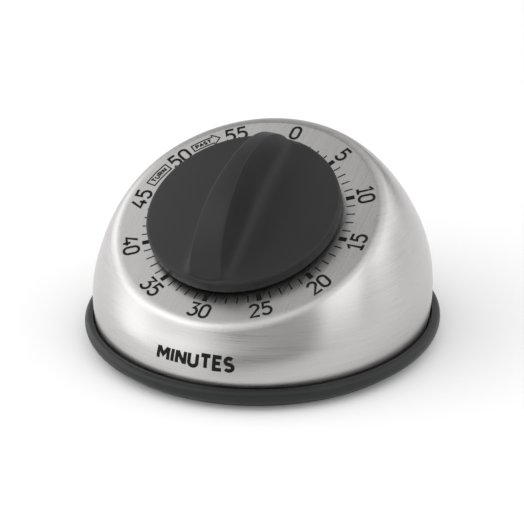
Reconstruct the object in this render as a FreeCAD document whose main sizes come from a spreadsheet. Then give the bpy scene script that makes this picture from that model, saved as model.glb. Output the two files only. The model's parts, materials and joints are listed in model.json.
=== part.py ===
import FreeCAD, Part
import math
import os
from FreeCAD import Placement, Rotation, Vector
import Sketcher

# Wind-up kitchen timer: a drawn steel dome with a slanted dial, a black base ring, a finger-fin knob
# and a sixty-minute spring movement with its bell.  Millimetres.  The row frame stands on the table
# under the middle of the base: +Z up, the dial leans towards -Y, +X to the right of the dial.
# Everything behind the dial is drawn in the dial frame: local X to the right, local Y up the face
# towards the zero mark, local Z out of the face, with its zero on the face's outer surface.

doc = FreeCAD.newDocument("kitchen_timer")

# ---------------------------------------------------------------- driving dimensions

DIMENSIONS = {
    # dial plane
    "dial_tilt": 24.3,
    "dial_y": -8.2,
    "dial_z": 40.2,
    # drawn dome
    "sheet": 0.6,
    "skirt_foot": 3.0,
    "skirt_foot_radius": 50.1,
    "skirt_top": 6.4,
    "skirt_radius": 50.8,
    "shoulder_radius": 43.02,
    "shoulder_drop": 2.0,
    "corner_radius": 40.95,
    "face_round": 4.5,
    "wall_bulge": 3.69,
    "wall_lean": 3.28,
    "wall_lift": 0.37,
    "dial_hole_radius": 4.2,
    # base
    "ring_radius": 54.0,
    "ring_foot_radius": 49.8,
    "ring_waist": 3.2,
    "ring_top": 6.5,
    "ring_throat_radius": 51.5,
    "ring_lip_radius": 47.4,
    "ring_lip": 1.2,
    "ring_round_top": 1.7,
    "ring_round_side": 2.9,
    "ring_round_foot": 1.4,
    "base_radius": 50.4,
    "base_top": 3.0,
    "bracket_ring": 43.0,
    "bracket_width": 9.0,
    "bracket_sheet": 1.2,
    "base_hole_radius": 1.6,
    # knob
    "knob_radius": 29.6,
    "knob_gap": 1.2,
    "knob_rim": 5.3,
    "knob_crown": 7.4,
    "knob_wall": 1.8,
    "fin_length": 29.3,
    "fin_height": 23.05,
    "fin_reach": 30.5,
    "fin_waist": 8.0,
    "fin_foot": 4.6,
    "fin_tail_top": 3.4,
    "fin_tail_foot": 5.7,
    "fin_waist_top": 2.25,
    "fin_waist_foot": 4.6,
    "fin_tip_top": 0.9,
    "fin_tip_foot": 2.9,
    "fin_crowning": 60.0,
    "hub_radius": 5.2,
    "hub_foot": 0.9,
    "hub_top": 6.4,
    "bore_top": 10.4,
    "arbor_flat": 1.6,
    # movement plates
    "plate_radius": 28.0,
    "front_plate_top": -4.0,
    "front_plate_back": -5.2,
    "back_plate_top": -19.2,
    "back_plate_back": -20.4,
    "pillar_ring": 25.0,
    "pillar_radius": 2.0,
    "tenon_radius": 1.3,
    "tapping_radius": 1.2,
    "screw_ring": 19.0,
    "dial_screw_radius": 1.45,
    "dial_screw_hole": 1.6,
    "spacer_radius": 3.0,
    # arbors
    "main_radius": 2.5,
    "main_bore": 2.55,
    "bush_radius": 4.0,
    "bush_flange": 5.2,
    "arbor_radius": 0.9,
    "arbor_front": -5.4,
    "arbor_back": -19.0,
    "pivot_radius": 0.55,
    "pivot_bore": 0.6,
    "pivot_front": -4.2,
    "pivot_back": -20.3,
    # levels of the wheels, front and back of each
    "main_wheel_top": -10.2,
    "main_wheel_back": -11.2,
    "ratchet_back": -12.4,
    "second_pinion_top": -9.7,
    "second_pinion_back": -11.7,
    "second_wheel_top": -13.2,
    "second_wheel_back": -14.0,
    "third_pinion_top": -12.7,
    "third_pinion_back": -14.5,
    "third_wheel_top": -17.0,
    "third_wheel_back": -17.8,
    "escape_pinion_top": -16.5,
    "escape_pinion_back": -18.3,
    "escape_wheel_top": -13.0,
    "escape_wheel_back": -13.6,
    "cam_top": -16.4,
    "cam_back": -17.4,
    "balance_top": -8.2,
    "balance_back": -9.4,
    # mainspring and stops
    "spring_inner": 3.2,
    "spring_outer": 9.4,
    "spring_sheet": 0.3,
    "spring_top": -5.9,
    "spring_back": -9.3,
    "post_radius": 0.8,
    "stop_ring": 12.9,
    "pin_radius": 0.6,
    "cam_radius": 7.0,
    # balance
    "balance_radius": 7.0,
    "balance_rim": 1.2,
    "roller_radius": 1.7,
    # bell
    "bell_up": 7.2,
    "bell_radius": 20.0,
    "bell_sheet": 0.9,
    "bell_rim": -22.3,
    "bell_shoulder": -26.6,
    "bell_crown": -30.4,
    "bell_crown_radius": 11.0,
    "bell_hole": 1.7,
    "bell_post_radius": 2.4,
    # hammer
    "hammer_radius": 2.5,
    "hammer_top": -22.4,
    "hammer_back": -26.3,
}

# gear teeth: one pressure angle, thin teeth for backlash
PRESSURE_ANGLE = math.radians(25.0)
TOOTH_SHARE = 0.43
WHEEL_ADDENDUM = 0.8
PINION_ADDENDUM = 1.0
DEDENDUM = 1.2
MAIN_MODULE = 0.4
TRAIN_MODULE = 0.32
MAIN_TEETH = 72
SECOND_PINION_TEETH = 12
SECOND_TEETH = 60
THIRD_PINION_TEETH = 10
THIRD_TEETH = 50
ESCAPE_PINION_TEETH = 10
ESCAPE_TEETH = 30
RATCHET_TEETH = 18



def polar(radius, degrees):
    angle = math.radians(degrees)
    return (radius * math.cos(angle), radius * math.sin(angle))


def gear_distance(module, wheel_teeth, pinion_teeth):
    return module * (wheel_teeth + pinion_teeth) / 2


def chord_angle(chord, radius):
    return math.degrees(2 * math.asin(chord / 2 / radius))


# The train's arbors stand on one circle round the main arbor, just outside the main wheel.
TRAIN_RING = gear_distance(MAIN_MODULE, MAIN_TEETH, SECOND_PINION_TEETH)
SECOND_ANGLE = 150.0
THIRD_ANGLE = SECOND_ANGLE - chord_angle(
    gear_distance(TRAIN_MODULE, SECOND_TEETH, THIRD_PINION_TEETH), TRAIN_RING)
ESCAPE_ANGLE = THIRD_ANGLE - chord_angle(
    gear_distance(TRAIN_MODULE, THIRD_TEETH, ESCAPE_PINION_TEETH), TRAIN_RING)
PALLET_REACH = 8.2
PALLET_ANGLE = 20.0

escape_place = polar(TRAIN_RING, ESCAPE_ANGLE)
pallet_step = polar(PALLET_REACH, PALLET_ANGLE)
PLACES = {
    "second": polar(TRAIN_RING, SECOND_ANGLE),
    "third": polar(TRAIN_RING, THIRD_ANGLE),
    "escape": escape_place,
    "pallet": (escape_place[0] + pallet_step[0], escape_place[1] + pallet_step[1]),
    "balance": polar(21.0, 25.0),
    "release": polar(20.0, 300.0),
    "hammer": polar(24.0, 235.0),
}
for arbor, (across, up) in PLACES.items():
    DIMENSIONS[arbor + "_x"] = round(across, 4)
    DIMENSIONS[arbor + "_up"] = round(up, 4)

sheet = doc.addObject("Spreadsheet::Sheet", "dims")
for row, (alias, number) in enumerate(DIMENSIONS.items(), start=1):
    sheet.set(f"A{row}", alias)
    sheet.set(f"B{row}", str(number))
    sheet.setAlias(f"B{row}", alias)
doc.recompute()

parts = []


# ---------------------------------------------------------------- terms: sums of cells and numbers

def pieces_of(term):
    return term if isinstance(term, tuple) else (term,)


def size(term):
    """The present value of a term: a cell's alias, "-alias", a number, or a tuple that is their sum."""
    total = 0.0
    for piece in pieces_of(term):
        if isinstance(piece, str):
            total += -sheet.get(piece[1:]) if piece.startswith("-") else sheet.get(piece)
        else:
            total += piece
    return total


def formula(term):
    """The same term as an expression on the sheet."""
    words = []
    for piece in pieces_of(term):
        if isinstance(piece, str):
            words.append(f"- dims.{piece[1:]}" if piece.startswith("-") else f"+ dims.{piece}")
        else:
            words.append(f"+ ({piece})")
    return "0 " + " ".join(words)


# ---------------------------------------------------------------- frames

DIAL = Placement(
    Vector(0, size("dial_y"), size("dial_z")),
    Rotation(Vector(1, 0, 0), size("dial_tilt")),
)


# Rings of fasteners in the base start behind the dial, on +Y.
BACK_FIRST = Placement(Vector(), Rotation(Vector(0, 0, 1), 90))


def behind_dial(x=0.0, up=0.0, turn=0.0):
    """The dial frame, shifted in the plane of the dial and turned about its own normal."""
    return DIAL * Placement(Vector(x, up, 0), Rotation(Vector(0, 0, 1), turn))


def keep(obj, label, placement=None):
    """Name a finished sub-part, place it and put it on the list of what is written."""
    obj.Label = label
    if placement is not None:
        obj.Placement = placement
    parts.append(obj)
    return obj


# ---------------------------------------------------------------- sketch and feature helpers

def origin_feature(body, role):
    return next(item for item in body.Origin.OriginFeatures if item.Role == role)


def new_body(name):
    body = doc.addObject("PartDesign::Body", name)
    body.AllowCompound = True
    return body


def new_sketch(body, name, role="XY_Plane", level=None):
    """A sketch on one of the body's origin planes, lifted off it by the term level."""
    sketch = body.newObject("Sketcher::SketchObject", name)
    sketch.AttachmentSupport = [(origin_feature(body, role), "")]
    sketch.MapMode = "FlatFace"
    if level is not None:
        sketch.AttachmentOffset = Placement(Vector(0, 0, size(level)), Rotation())
        sketch.setExpression("AttachmentOffset.Base.z", formula(level))
    return sketch


def drive(sketch, constraint, term):
    """Add a constraint whose value follows a term on the sheet."""
    number = sketch.addConstraint(constraint)
    sketch.setExpression(f"Constraints[{number}]", formula(term))


def add_polygon(sketch, corners):
    """A closed outline; each corner is a pair of terms measured from the sketch's origin."""
    spots = [Vector(size(across), size(along), 0) for across, along in corners]
    lines = []
    for index, spot in enumerate(spots):
        following = spots[(index + 1) % len(spots)]
        lines.append(sketch.addGeometry(Part.LineSegment(spot, following)))
    for index, line in enumerate(lines):
        following = lines[(index + 1) % len(lines)]
        sketch.addConstraint(Sketcher.Constraint("Coincident", line, 2, following, 1))
    for line, spot, (across, along) in zip(lines, spots, corners):
        drive(sketch, Sketcher.Constraint("DistanceX", -1, 1, line, 1, spot.x), across)
        drive(sketch, Sketcher.Constraint("DistanceY", -1, 1, line, 1, spot.y), along)


def add_circle(sketch, radius, across=0.0, along=0.0):
    centre = Vector(size(across), size(along), 0)
    circle = sketch.addGeometry(Part.Circle(centre, Vector(0, 0, 1), size(radius)))
    drive(sketch, Sketcher.Constraint("Radius", circle, size(radius)), radius)
    drive(sketch, Sketcher.Constraint("DistanceX", -1, 1, circle, 3, centre.x), across)
    drive(sketch, Sketcher.Constraint("DistanceY", -1, 1, circle, 3, centre.y), along)


def revolve(body, name, corners, axis_at=0.0):
    """Turn an outline of (radius, level) corners once round an upright axis at the term axis_at."""
    sketch = new_sketch(body, name + "_outline", "XZ_Plane")
    add_polygon(sketch, [(in_sum(axis_at, radius), level) for radius, level in corners])
    turning = body.newObject("PartDesign::Revolution", name)
    turning.Profile = sketch
    if axis_at == 0.0:
        turning.ReferenceAxis = (sketch, ["V_Axis"])
    else:
        line = Part.LineSegment(Vector(size(axis_at), 0, 0), Vector(size(axis_at), 1, 0))
        axis = sketch.addGeometry(line, True)
        sketch.addConstraint(Sketcher.Constraint("Vertical", axis))
        drive(sketch, Sketcher.Constraint("DistanceX", -1, 1, axis, 1, size(axis_at)), axis_at)
        turning.ReferenceAxis = (sketch, ["Axis0"])
    turning.Angle = 360
    sketch.Visibility = False
    return turning


def in_sum(first, second):
    return pieces_of(first) + pieces_of(second)


def pad(body, name, sketch, length, backwards=False):
    feature = body.newObject("PartDesign::Pad", name)
    feature.Profile = sketch
    feature.Length = size(length)
    feature.setExpression("Length", formula(length))
    feature.Reversed = backwards
    return feature


def pocket_through(body, name, sketch):
    """Cut a sketch right through the body, both ways, and make sure that it cut something."""
    doc.recompute()
    before = body.Shape.Volume
    feature = body.newObject("PartDesign::Pocket", name)
    feature.Profile = sketch
    feature.Type = "ThroughAll"
    feature.Midplane = True
    doc.recompute()
    if body.Shape.Volume > before - 1e-3:
        raise RuntimeError(f"{name} cuts nothing")
    return feature


def circular_edges(shape, centre, radius):
    """The names of the edges that run round this centre at this radius."""
    names = []
    for number, edge in enumerate(shape.Edges, start=1):
        gaps = [abs((spot - centre).Length - radius) for spot in edge.discretize(5)]
        if max(gaps) < 0.01:
            names.append(f"Edge{number}")
    return names


def round_edges(body, name, base, centre, edge_radius, rounding):
    """Round the circular edges of the feature base that have this centre and radius."""
    doc.recompute()
    edges = circular_edges(base.Shape, centre, size(edge_radius))
    if not edges:
        raise RuntimeError(f"{name} finds no edge")
    feature = body.newObject("PartDesign::Fillet", name)
    feature.Base = (base, edges)
    feature.Radius = size(rounding)
    feature.setExpression("Radius", formula(rounding))
    doc.recompute()
    return feature


def ring_of(body, name, features, count):
    """Repeat features evenly round the body's upright axis."""
    pattern = body.newObject("PartDesign::PolarPattern", name)
    pattern.Originals = features
    pattern.Axis = (origin_feature(body, "Z_Axis"), [""])
    pattern.Angle = 360
    pattern.Occurrences = count
    body.Tip = pattern
    return pattern


def turned(label, corners, placement):
    """A piece made on a lathe, from an outline of (radius, level) corners."""
    body = new_body(label)
    revolve(body, label + "_turning", corners)
    return keep(body, label, placement)


def turned_ring(label, corners, axis_at, count, placement):
    """Equal turned pieces in a ring: a group of separate solids."""
    body = new_body(label)
    turning = revolve(body, label + "_turning", corners, axis_at)
    ring_of(body, label + "_ring", [turning], count)
    return keep(body, label, placement)


# ---------------------------------------------------------------- smaller dimensions

PRESS_FIT = 0.01
ARBOR_FIT = 0.02
THREAD_SLACK = 0.02
TAPPING_SLACK = 0.05
TAPPED_DEPTH = 6.0
THREAD_DEPTH = 5.0
SCREW_HEAD_DEPTH = 1.4
BASE_SCREW_HEAD = 2.8
PILLAR_SCREW_HEAD = 2.4
BELL_SCREW_HEAD = 3.4
DIAL_SCREW_HEAD = 2.6
DIAL_SCREW_HEAD_TOP = 1.2
RIM_BEVEL = 0.9
REAR_BUSH_BORE = 1.65
REAR_BUSH_RADIUS = 3.2
REAR_BUSH_FLANGE = 4.2
BUSH_FLANGE_SHEET = 0.5
STUD_REACH = 5.2
STUD_BACK = -7.3
STOP_POST_BACK = -8.9
STOP_PIN_TOP = -8.2
HAIRSPRING_INSIDE = 1.1
HAIRSPRING_OUTSIDE = 4.5
HAIRSPRING_TURNS = 5
HAIRSPRING_SHEET = 0.2
HAIRSPRING_TOP = -6.4
HAIRSPRING_BACK = -7.1
RATCHET_ROOT = 5.5
RATCHET_TIP = 6.5
ESCAPE_ROOT = 4.2
ESCAPE_TIP = 5.0
MAIN_WINDOW = 1.7
MAIN_WINDOWS = 6
MAIN_WINDOW_RING = 9.0
TRAIN_WINDOWS = 5
SECOND_WINDOW = 2.3
SECOND_WINDOW_RING = 5.6
THIRD_WINDOW = 1.8
THIRD_WINDOW_RING = 4.6
CLICK_RIVET_RADIUS = 0.7
CLICK_FIT = 0.05
CLICK_SPRING_ROOT = polar(12.3, 218.0)
CLICK_SPRING_TIP = polar(8.9, 247.0)
CLICK_SPRING_SHEET = 0.3
LEAF_SHEET = 0.25
BOSS_RADIUS = 1.8
ARM_WIDTH = 1.6
ARM_TOP = -23.8
ARM_BACK = -24.8
HEAD_NECK = 1.0
WALL_SECTIONS = 5
SHORT_CUT = 3.0
SLOT_COUNT = 5
SLOT_PITCH = 8.0
SLOT_WIDTH = 3.0
SLOT_REACH = 20.0
BRACKETS = 3
BRACKET_HEIGHT = 9.0
BRACKET_FOOT = 6.0
BRACKET_OUTSIDE = 49.2
RING_SLACK = 0.1
CLIP_SHEET = 0.4
CLIP_HALF_WIDTH = 1.35
CLIP_SLACK = 0.05
CLIP_HEIGHT = 6.0
ARBOR_TOP = 9.6
FLAT_FOOT = 1.6
PILLARS = 4
DIAL_SCREWS = 3
STOP_ANGLE = 262.0
HOOK_ANGLE = 215.0
STUD_ANGLE = 100.0
CLICK_PIVOT = polar(10.2, 278.0)
PIN_ANGLE = STOP_ANGLE - 7.5
MAINSPRING_TURNS = 7
LEVER_TOP = -14.2
LEVER_BACK = -14.9
PALLET_PIN_REACH = 5.95
PALLET_PIN_SPREAD = 40.0
SPRING_SLACK = 0.1
RELEASE_TIP_RADIUS = 8.5
RELEASE_TIP_ANGLE = 300.0 - math.degrees(math.acos(RELEASE_TIP_RADIUS / 20.0))
HAMMER_GAP = 0.8
TAIL_TOP = -13.2
TAIL_BACK = -14.0


# ---------------------------------------------------------------- the dome

def wall_section(body, name, share, inset):
    """One circle of the dome's wall: share 0 is at the top of the skirt, 1 at the shoulder of the
    face.  The circle tilts, moves and widens with its share; inset draws the inside of the sheet."""
    bow = f"4 * {share} * (1 - {share})"
    drop = f"dims.shoulder_drop * {share} ^ 3"
    tilt = f"{share} * dims.dial_tilt * 1 deg"
    sketch = new_sketch(body, name)
    sketch.AttachmentOffset = Placement(Vector(0, 0, 0), Rotation(Vector(1, 0, 0), 1.0))
    sketch.setExpression("AttachmentOffset.Rotation.Angle", tilt)
    sketch.setExpression(
        "AttachmentOffset.Base.y",
        f"{share} * dims.dial_y + {bow} * dims.wall_lean + sin({tilt}) * {drop}")
    sketch.setExpression(
        "AttachmentOffset.Base.z",
        f"dims.skirt_top + {share} * (dims.dial_z - dims.skirt_top) + {bow} * dims.wall_lift"
        f" - cos({tilt}) * {drop}")
    add_circle(sketch, "skirt_radius")
    sketch.setExpression(
        "Constraints[0]",
        f"(1 - {share}) * dims.skirt_radius + {share} * dims.shoulder_radius"
        f" + {bow} * dims.wall_bulge - {inset}")
    return sketch


def dial_sketch(body, name, level):
    """A sketch parallel to the dial, at the term level along its normal, in the row frame."""
    sketch = new_sketch(body, name)
    sketch.AttachmentOffset = DIAL * Placement(Vector(0, 0, size(level)), Rotation())
    return sketch


def wall_loft(body, kind, name, inset):
    """A closed solid of the dome's outside or inside: foot circle, wall sections, face circle."""
    foot = new_sketch(body, name + "_foot", level="skirt_foot")
    add_circle(foot, in_sum("skirt_foot_radius", inset))
    shift = "0" if inset == 0.0 else "dims.sheet"
    walls = []
    for index in range(WALL_SECTIONS):
        share = index / (WALL_SECTIONS - 1)
        walls.append(wall_section(body, f"{name}_wall_{index}", share, shift))
    face = dial_sketch(body, name + "_face", inset)
    add_circle(face, in_sum("corner_radius", inset))
    loft = body.newObject(kind, name)
    loft.Profile = foot
    loft.Sections = walls + [face]
    return loft


def make_steel_shell():
    body = new_body("steel_shell")
    wall_loft(body, "PartDesign::AdditiveLoft", "outside", 0.0)
    hollow = wall_loft(body, "PartDesign::SubtractiveLoft", "inside", "-sheet")
    centre = DIAL.multVec(Vector(0, 0, 0))
    inner_centre = DIAL.multVec(Vector(0, 0, -size("sheet")))
    outer = round_edges(body, "face_rounding", hollow, centre, "corner_radius", "face_round")
    round_edges(body, "inner_rounding", outer, inner_centre, ("corner_radius", "-sheet"),
                ("face_round", "-sheet"))
    cut_face_hole(body, "arbor_hole", "dial_hole_radius", 0.0)
    screw_hole = cut_face_hole(body, "screw_hole", "dial_screw_hole", "screw_ring")
    pattern = body.newObject("PartDesign::PolarPattern", "screw_holes")
    pattern.Originals = [screw_hole]
    pattern.Axis = (screw_hole.Profile[0], ["N_Axis"])
    pattern.Angle = 360
    pattern.Occurrences = 3
    body.Tip = pattern
    return keep(body, "steel_shell")


def cut_face_hole(body, name, radius, along):
    sketch = dial_sketch(body, name + "_outline", 0.0)
    add_circle(sketch, radius, 0.0, along)
    doc.recompute()
    before = body.Shape.Volume
    pocket = body.newObject("PartDesign::Pocket", name)
    pocket.Profile = sketch
    pocket.Type = "Length"
    pocket.Length = SHORT_CUT
    pocket.Midplane = True
    doc.recompute()
    if body.Shape.Volume > before - 1e-3:
        raise RuntimeError(f"{name} cuts nothing")
    return pocket


# ---------------------------------------------------------------- the base

def make_base_ring():
    """The soft ring: a rounded bead outside, a lip that hooks under the base plate."""
    body = new_body("base_ring")
    bead = revolve(body, "bead", [
        ("ring_lip_radius", 0.0),
        ("ring_foot_radius", 0.0),
        ("ring_radius", "ring_waist"),
        ("ring_radius", "ring_top"),
        ("ring_throat_radius", "ring_top"),
        ("ring_throat_radius", "base_top"),
        (("base_radius", RING_SLACK), "base_top"),
        (("base_radius", RING_SLACK), "ring_lip"),
        ("ring_lip_radius", "ring_lip"),
    ])
    steps = [
        ("round_top", "ring_radius", "ring_top", "ring_round_top"),
        ("round_side", "ring_radius", "ring_waist", "ring_round_side"),
        ("round_foot", "ring_foot_radius", 0.0, "ring_round_foot"),
    ]
    base = bead
    for name, radius, level, rounding in steps:
        base = round_edges(body, name, base, Vector(0, 0, size(level)), radius, rounding)
    return keep(body, "base_ring")


def make_base_plate():
    """A flat moulded plate with three screw holes and a grille that lets the bell be heard."""
    body = new_body("base_plate")
    sketch = new_sketch(body, "disc_outline", level="ring_lip")
    add_circle(sketch, "base_radius")
    pad(body, "disc", sketch, ("base_top", "-ring_lip"))
    holes = new_sketch(body, "screw_hole_outline", level="ring_lip")
    add_circle(holes, "base_hole_radius", "bracket_ring")
    hole = pocket_through(body, "screw_hole", holes)
    ring_of(body, "screw_hole_ring", [hole], BRACKETS)
    for index in range(SLOT_COUNT):
        middle = (index - (SLOT_COUNT - 1) / 2) * SLOT_PITCH
        reach = math.sqrt(SLOT_REACH ** 2 - middle ** 2)
        slot = new_sketch(body, f"slot_{index}_outline", level="ring_lip")
        add_polygon(slot, [
            (-reach, middle - SLOT_WIDTH / 2),
            (reach, middle - SLOT_WIDTH / 2),
            (reach, middle + SLOT_WIDTH / 2),
            (-reach, middle + SLOT_WIDTH / 2),
        ])
        pocket_through(body, f"slot_{index}", slot)
    return keep(body, "base_plate", BACK_FIRST)


def make_shell_brackets():
    """Three folded tabs inside the foot of the dome; the base screws thread into them."""
    body = new_body("shell_brackets")
    foot = new_sketch(body, "foot_outline", level="base_top")
    half = size("bracket_width") / 2
    add_polygon(foot, [
        (("bracket_ring", -BRACKET_FOOT), -half),
        (BRACKET_OUTSIDE, -half),
        (BRACKET_OUTSIDE, half),
        (("bracket_ring", -BRACKET_FOOT), half),
    ])
    add_circle(foot, "dial_screw_radius", "bracket_ring")
    base = pad(body, "foot", foot, "bracket_sheet")
    upright = new_sketch(body, "upright_outline", level=("base_top", "bracket_sheet"))
    add_polygon(upright, [
        ((BRACKET_OUTSIDE, "-bracket_sheet"), -half),
        (BRACKET_OUTSIDE, -half),
        (BRACKET_OUTSIDE, half),
        ((BRACKET_OUTSIDE, "-bracket_sheet"), half),
    ])
    tab = pad(body, "upright", upright, BRACKET_HEIGHT)
    doc.recompute()
    ring_of(body, "tabs", [base, tab], BRACKETS)
    return keep(body, "shell_brackets", BACK_FIRST)


def make_base_screws():
    return turned_ring("base_screws", [
        (0.0, 0.3),
        (BASE_SCREW_HEAD, 0.3),
        (BASE_SCREW_HEAD, "ring_lip"),
        (("dial_screw_radius", -THREAD_SLACK), "ring_lip"),
        (("dial_screw_radius", -THREAD_SLACK), ("base_top", "bracket_sheet", 0.6)),
        (0.0, ("base_top", "bracket_sheet", 0.6)),
    ], "bracket_ring", BRACKETS, BACK_FIRST)


# ---------------------------------------------------------------- the knob

def loose_sketch(name, corners, level):
    """A sketch outside any body, in the local XY plane at a level."""
    sketch = doc.addObject("Sketcher::SketchObject", name)
    sketch.Placement = Placement(Vector(0, 0, size(level)), Rotation())
    add_polygon(sketch, corners)
    return sketch


def fin_outline(tail, waist, tip):
    """Six corners of the fin seen along the arbor; it narrows from tail to pointer."""
    return [
        ("-" + tail, "-fin_reach"),
        (tail, "-fin_reach"),
        (waist, "fin_waist"),
        (tip, "fin_reach"),
        ("-" + tip, "fin_reach"),
        ("-" + waist, "fin_waist"),
    ]


def make_knob():
    """A dished disc with a skirt, a tapered finger fin with an elliptical back, and a D-bored hub."""
    foot = loose_sketch(
        "fin_foot_outline", fin_outline("fin_tail_foot", "fin_waist_foot", "fin_tip_foot"), "fin_foot")
    top = loose_sketch(
        "fin_top_outline", fin_outline("fin_tail_top", "fin_waist_top", "fin_tip_top"),
        ("fin_height", 1.0))
    wedge = doc.addObject("Part::Loft", "fin_wedge")
    wedge.Sections = [foot, top]
    wedge.Solid = True
    wedge.Ruled = True
    back = doc.addObject("Part::Ellipsoid", "fin_back")
    back.setExpression("Radius1", "dims.fin_height")
    back.setExpression("Radius2", "dims.fin_crowning")
    back.setExpression("Radius3", "dims.fin_length")
    fin = doc.addObject("Part::MultiCommon", "fin")
    fin.Shapes = [wedge, back]
    disc = new_body("knob_disc")
    revolve(disc, "disc", [
        (0.0, "knob_crown"),
        (("knob_radius", -RIM_BEVEL), "knob_rim"),
        ("knob_radius", ("knob_rim", -RIM_BEVEL)),
        ("knob_radius", "knob_gap"),
        (("knob_radius", "-knob_wall"), "knob_gap"),
        (("knob_radius", "-knob_wall", -RIM_BEVEL), ("knob_rim", "-knob_wall")),
        (0.0, ("knob_crown", "-knob_wall")),
    ])
    hub = doc.addObject("Part::Cylinder", "knob_hub")
    hub.setExpression("Radius", "dims.hub_radius")
    hub.setExpression("Height", "dims.hub_top - dims.hub_foot")
    hub.setExpression("Placement.Base.z", "dims.hub_foot")
    solid = doc.addObject("Part::MultiFuse", "knob_solid")
    solid.Shapes = [fin, disc, hub]
    solid.Refine = True
    bore = doc.addObject("Part::Cylinder", "knob_bore")
    bore.setExpression("Radius", f"dims.main_radius + {ARBOR_FIT}")
    bore.setExpression("Height", "dims.bore_top")
    knob = doc.addObject("Part::Cut", "knob")
    knob.Base = solid
    knob.Tool = bore
    return keep(knob, "knob", behind_dial())


def make_knob_clip():
    """A spring leaf that fills the gap between the arbor's flat and the hub's round bore."""
    body = new_body("knob_clip")
    sketch = new_sketch(body, "leaf_outline", level=FLAT_FOOT + 0.4)
    add_polygon(sketch, [
        (-CLIP_HALF_WIDTH, ("-arbor_flat", -CLIP_SLACK, -CLIP_SHEET)),
        (CLIP_HALF_WIDTH, ("-arbor_flat", -CLIP_SLACK, -CLIP_SHEET)),
        (CLIP_HALF_WIDTH, ("-arbor_flat", -CLIP_SLACK)),
        (-CLIP_HALF_WIDTH, ("-arbor_flat", -CLIP_SLACK)),
    ])
    pad(body, "leaf", sketch, CLIP_HEIGHT)
    return keep(body, "knob_clip", behind_dial())


def make_main_arbor():
    body = new_body("main_arbor")
    revolve(body, "arbor", [
        (0.0, ARBOR_TOP),
        ("main_radius", ARBOR_TOP),
        ("main_radius", ("ratchet_back", -0.2)),
        (("main_radius", -0.3), ("ratchet_back", -0.2)),
        (("main_radius", -0.3), "arbor_back"),
        (1.6, "arbor_back"),
        (1.6, ("back_plate_back", -0.5)),
        (0.0, ("back_plate_back", -0.5)),
    ])
    flat = new_sketch(body, "flat_outline", level=FLAT_FOOT)
    add_polygon(flat, [
        ("-main_radius", ("-main_radius", -1.0)),
        ("main_radius", ("-main_radius", -1.0)),
        ("main_radius", "-arbor_flat"),
        ("-main_radius", "-arbor_flat"),
    ])
    doc.recompute()
    before = body.Shape.Volume
    cut = body.newObject("PartDesign::Pocket", "flat")
    cut.Profile = flat
    cut.Type = "Length"
    cut.Length = ARBOR_TOP
    cut.Reversed = True
    doc.recompute()
    if body.Shape.Volume > before - 1e-3:
        raise RuntimeError("the flat cuts nothing")
    return keep(body, "main_arbor", behind_dial())


# ---------------------------------------------------------------- plates and what joins them


def plate(label, top, back, round_holes, pillar_hole):
    """A round movement plate with single holes, a ring of pillar holes and the train's pivots."""
    body = new_body(label)
    sketch = new_sketch(body, label + "_outline", level=back)
    add_circle(sketch, "plate_radius")
    pad(body, label + "_blank", sketch, (top, "-" + back))
    holes = new_sketch(body, label + "_holes_outline", level=back)
    for radius, across, along in round_holes:
        add_circle(holes, radius, across, along)
    for arbor in PLACES:
        add_circle(holes, "pivot_bore", arbor + "_x", arbor + "_up")
    pocket_through(body, label + "_holes", holes)
    ring = new_sketch(body, label + "_pillar_outline", level=back)
    add_circle(ring, pillar_hole, "pillar_ring")
    hole = pocket_through(body, label + "_pillar_hole", ring)
    ring_of(body, label + "_pillar_holes", [hole], PILLARS)
    return body


def make_front_plate():
    stop = polar(size("stop_ring"), STOP_ANGLE)
    stud = stud_place()
    hook = spring_post_place()
    body = plate("front_plate", "front_plate_top", "front_plate_back", [
        ("bush_radius", 0.0, 0.0),
        ("post_radius", stop[0], stop[1]),
        ("post_radius", hook[0], hook[1]),
        ("pivot_radius", stud[0], stud[1]),
    ], "tenon_radius")
    screw = new_sketch(body, "tapped_outline", level="front_plate_back")
    add_circle(screw, "dial_screw_radius", 0.0, "screw_ring")
    hole = pocket_through(body, "tapped", screw)
    ring_of(body, "tapped_ring", [hole], DIAL_SCREWS)
    return keep(body, "front_plate", behind_dial())


def make_back_plate():
    body = plate("back_plate", "back_plate_top", "back_plate_back", [
        (REAR_BUSH_RADIUS, 0.0, 0.0),
        ("tenon_radius", 0.0, "bell_up"),
    ], "tenon_radius")
    return keep(body, "back_plate", behind_dial())


def spring_post_place():
    """The post that holds the mainspring's outer end."""
    return polar(size("spring_outer") + size("post_radius") + SPRING_SLACK, HOOK_ANGLE)


def stud_place():
    """The hairspring's stud stands beside the balance."""
    step = polar(STUD_REACH, STUD_ANGLE)
    return (size("balance_x") + step[0], size("balance_up") + step[1])


def make_posts():
    """Small studs riveted into the front plate."""
    turned("stop_post", [
        (0.0, "front_plate_top"),
        ("post_radius", "front_plate_top"),
        ("post_radius", STOP_POST_BACK),
        (0.0, STOP_POST_BACK),
    ], behind_dial(*polar(size("stop_ring"), STOP_ANGLE)))
    turned("spring_post", [
        (0.0, "front_plate_top"),
        ("post_radius", "front_plate_top"),
        ("post_radius", ("spring_back", -0.2)),
        (0.0, ("spring_back", -0.2)),
    ], behind_dial(*spring_post_place()))
    turned("hairspring_stud", [
        (0.0, "front_plate_top"),
        ("pivot_radius", "front_plate_top"),
        ("pivot_radius", STUD_BACK),
        (0.0, STUD_BACK),
    ], behind_dial(*stud_place()))


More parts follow.
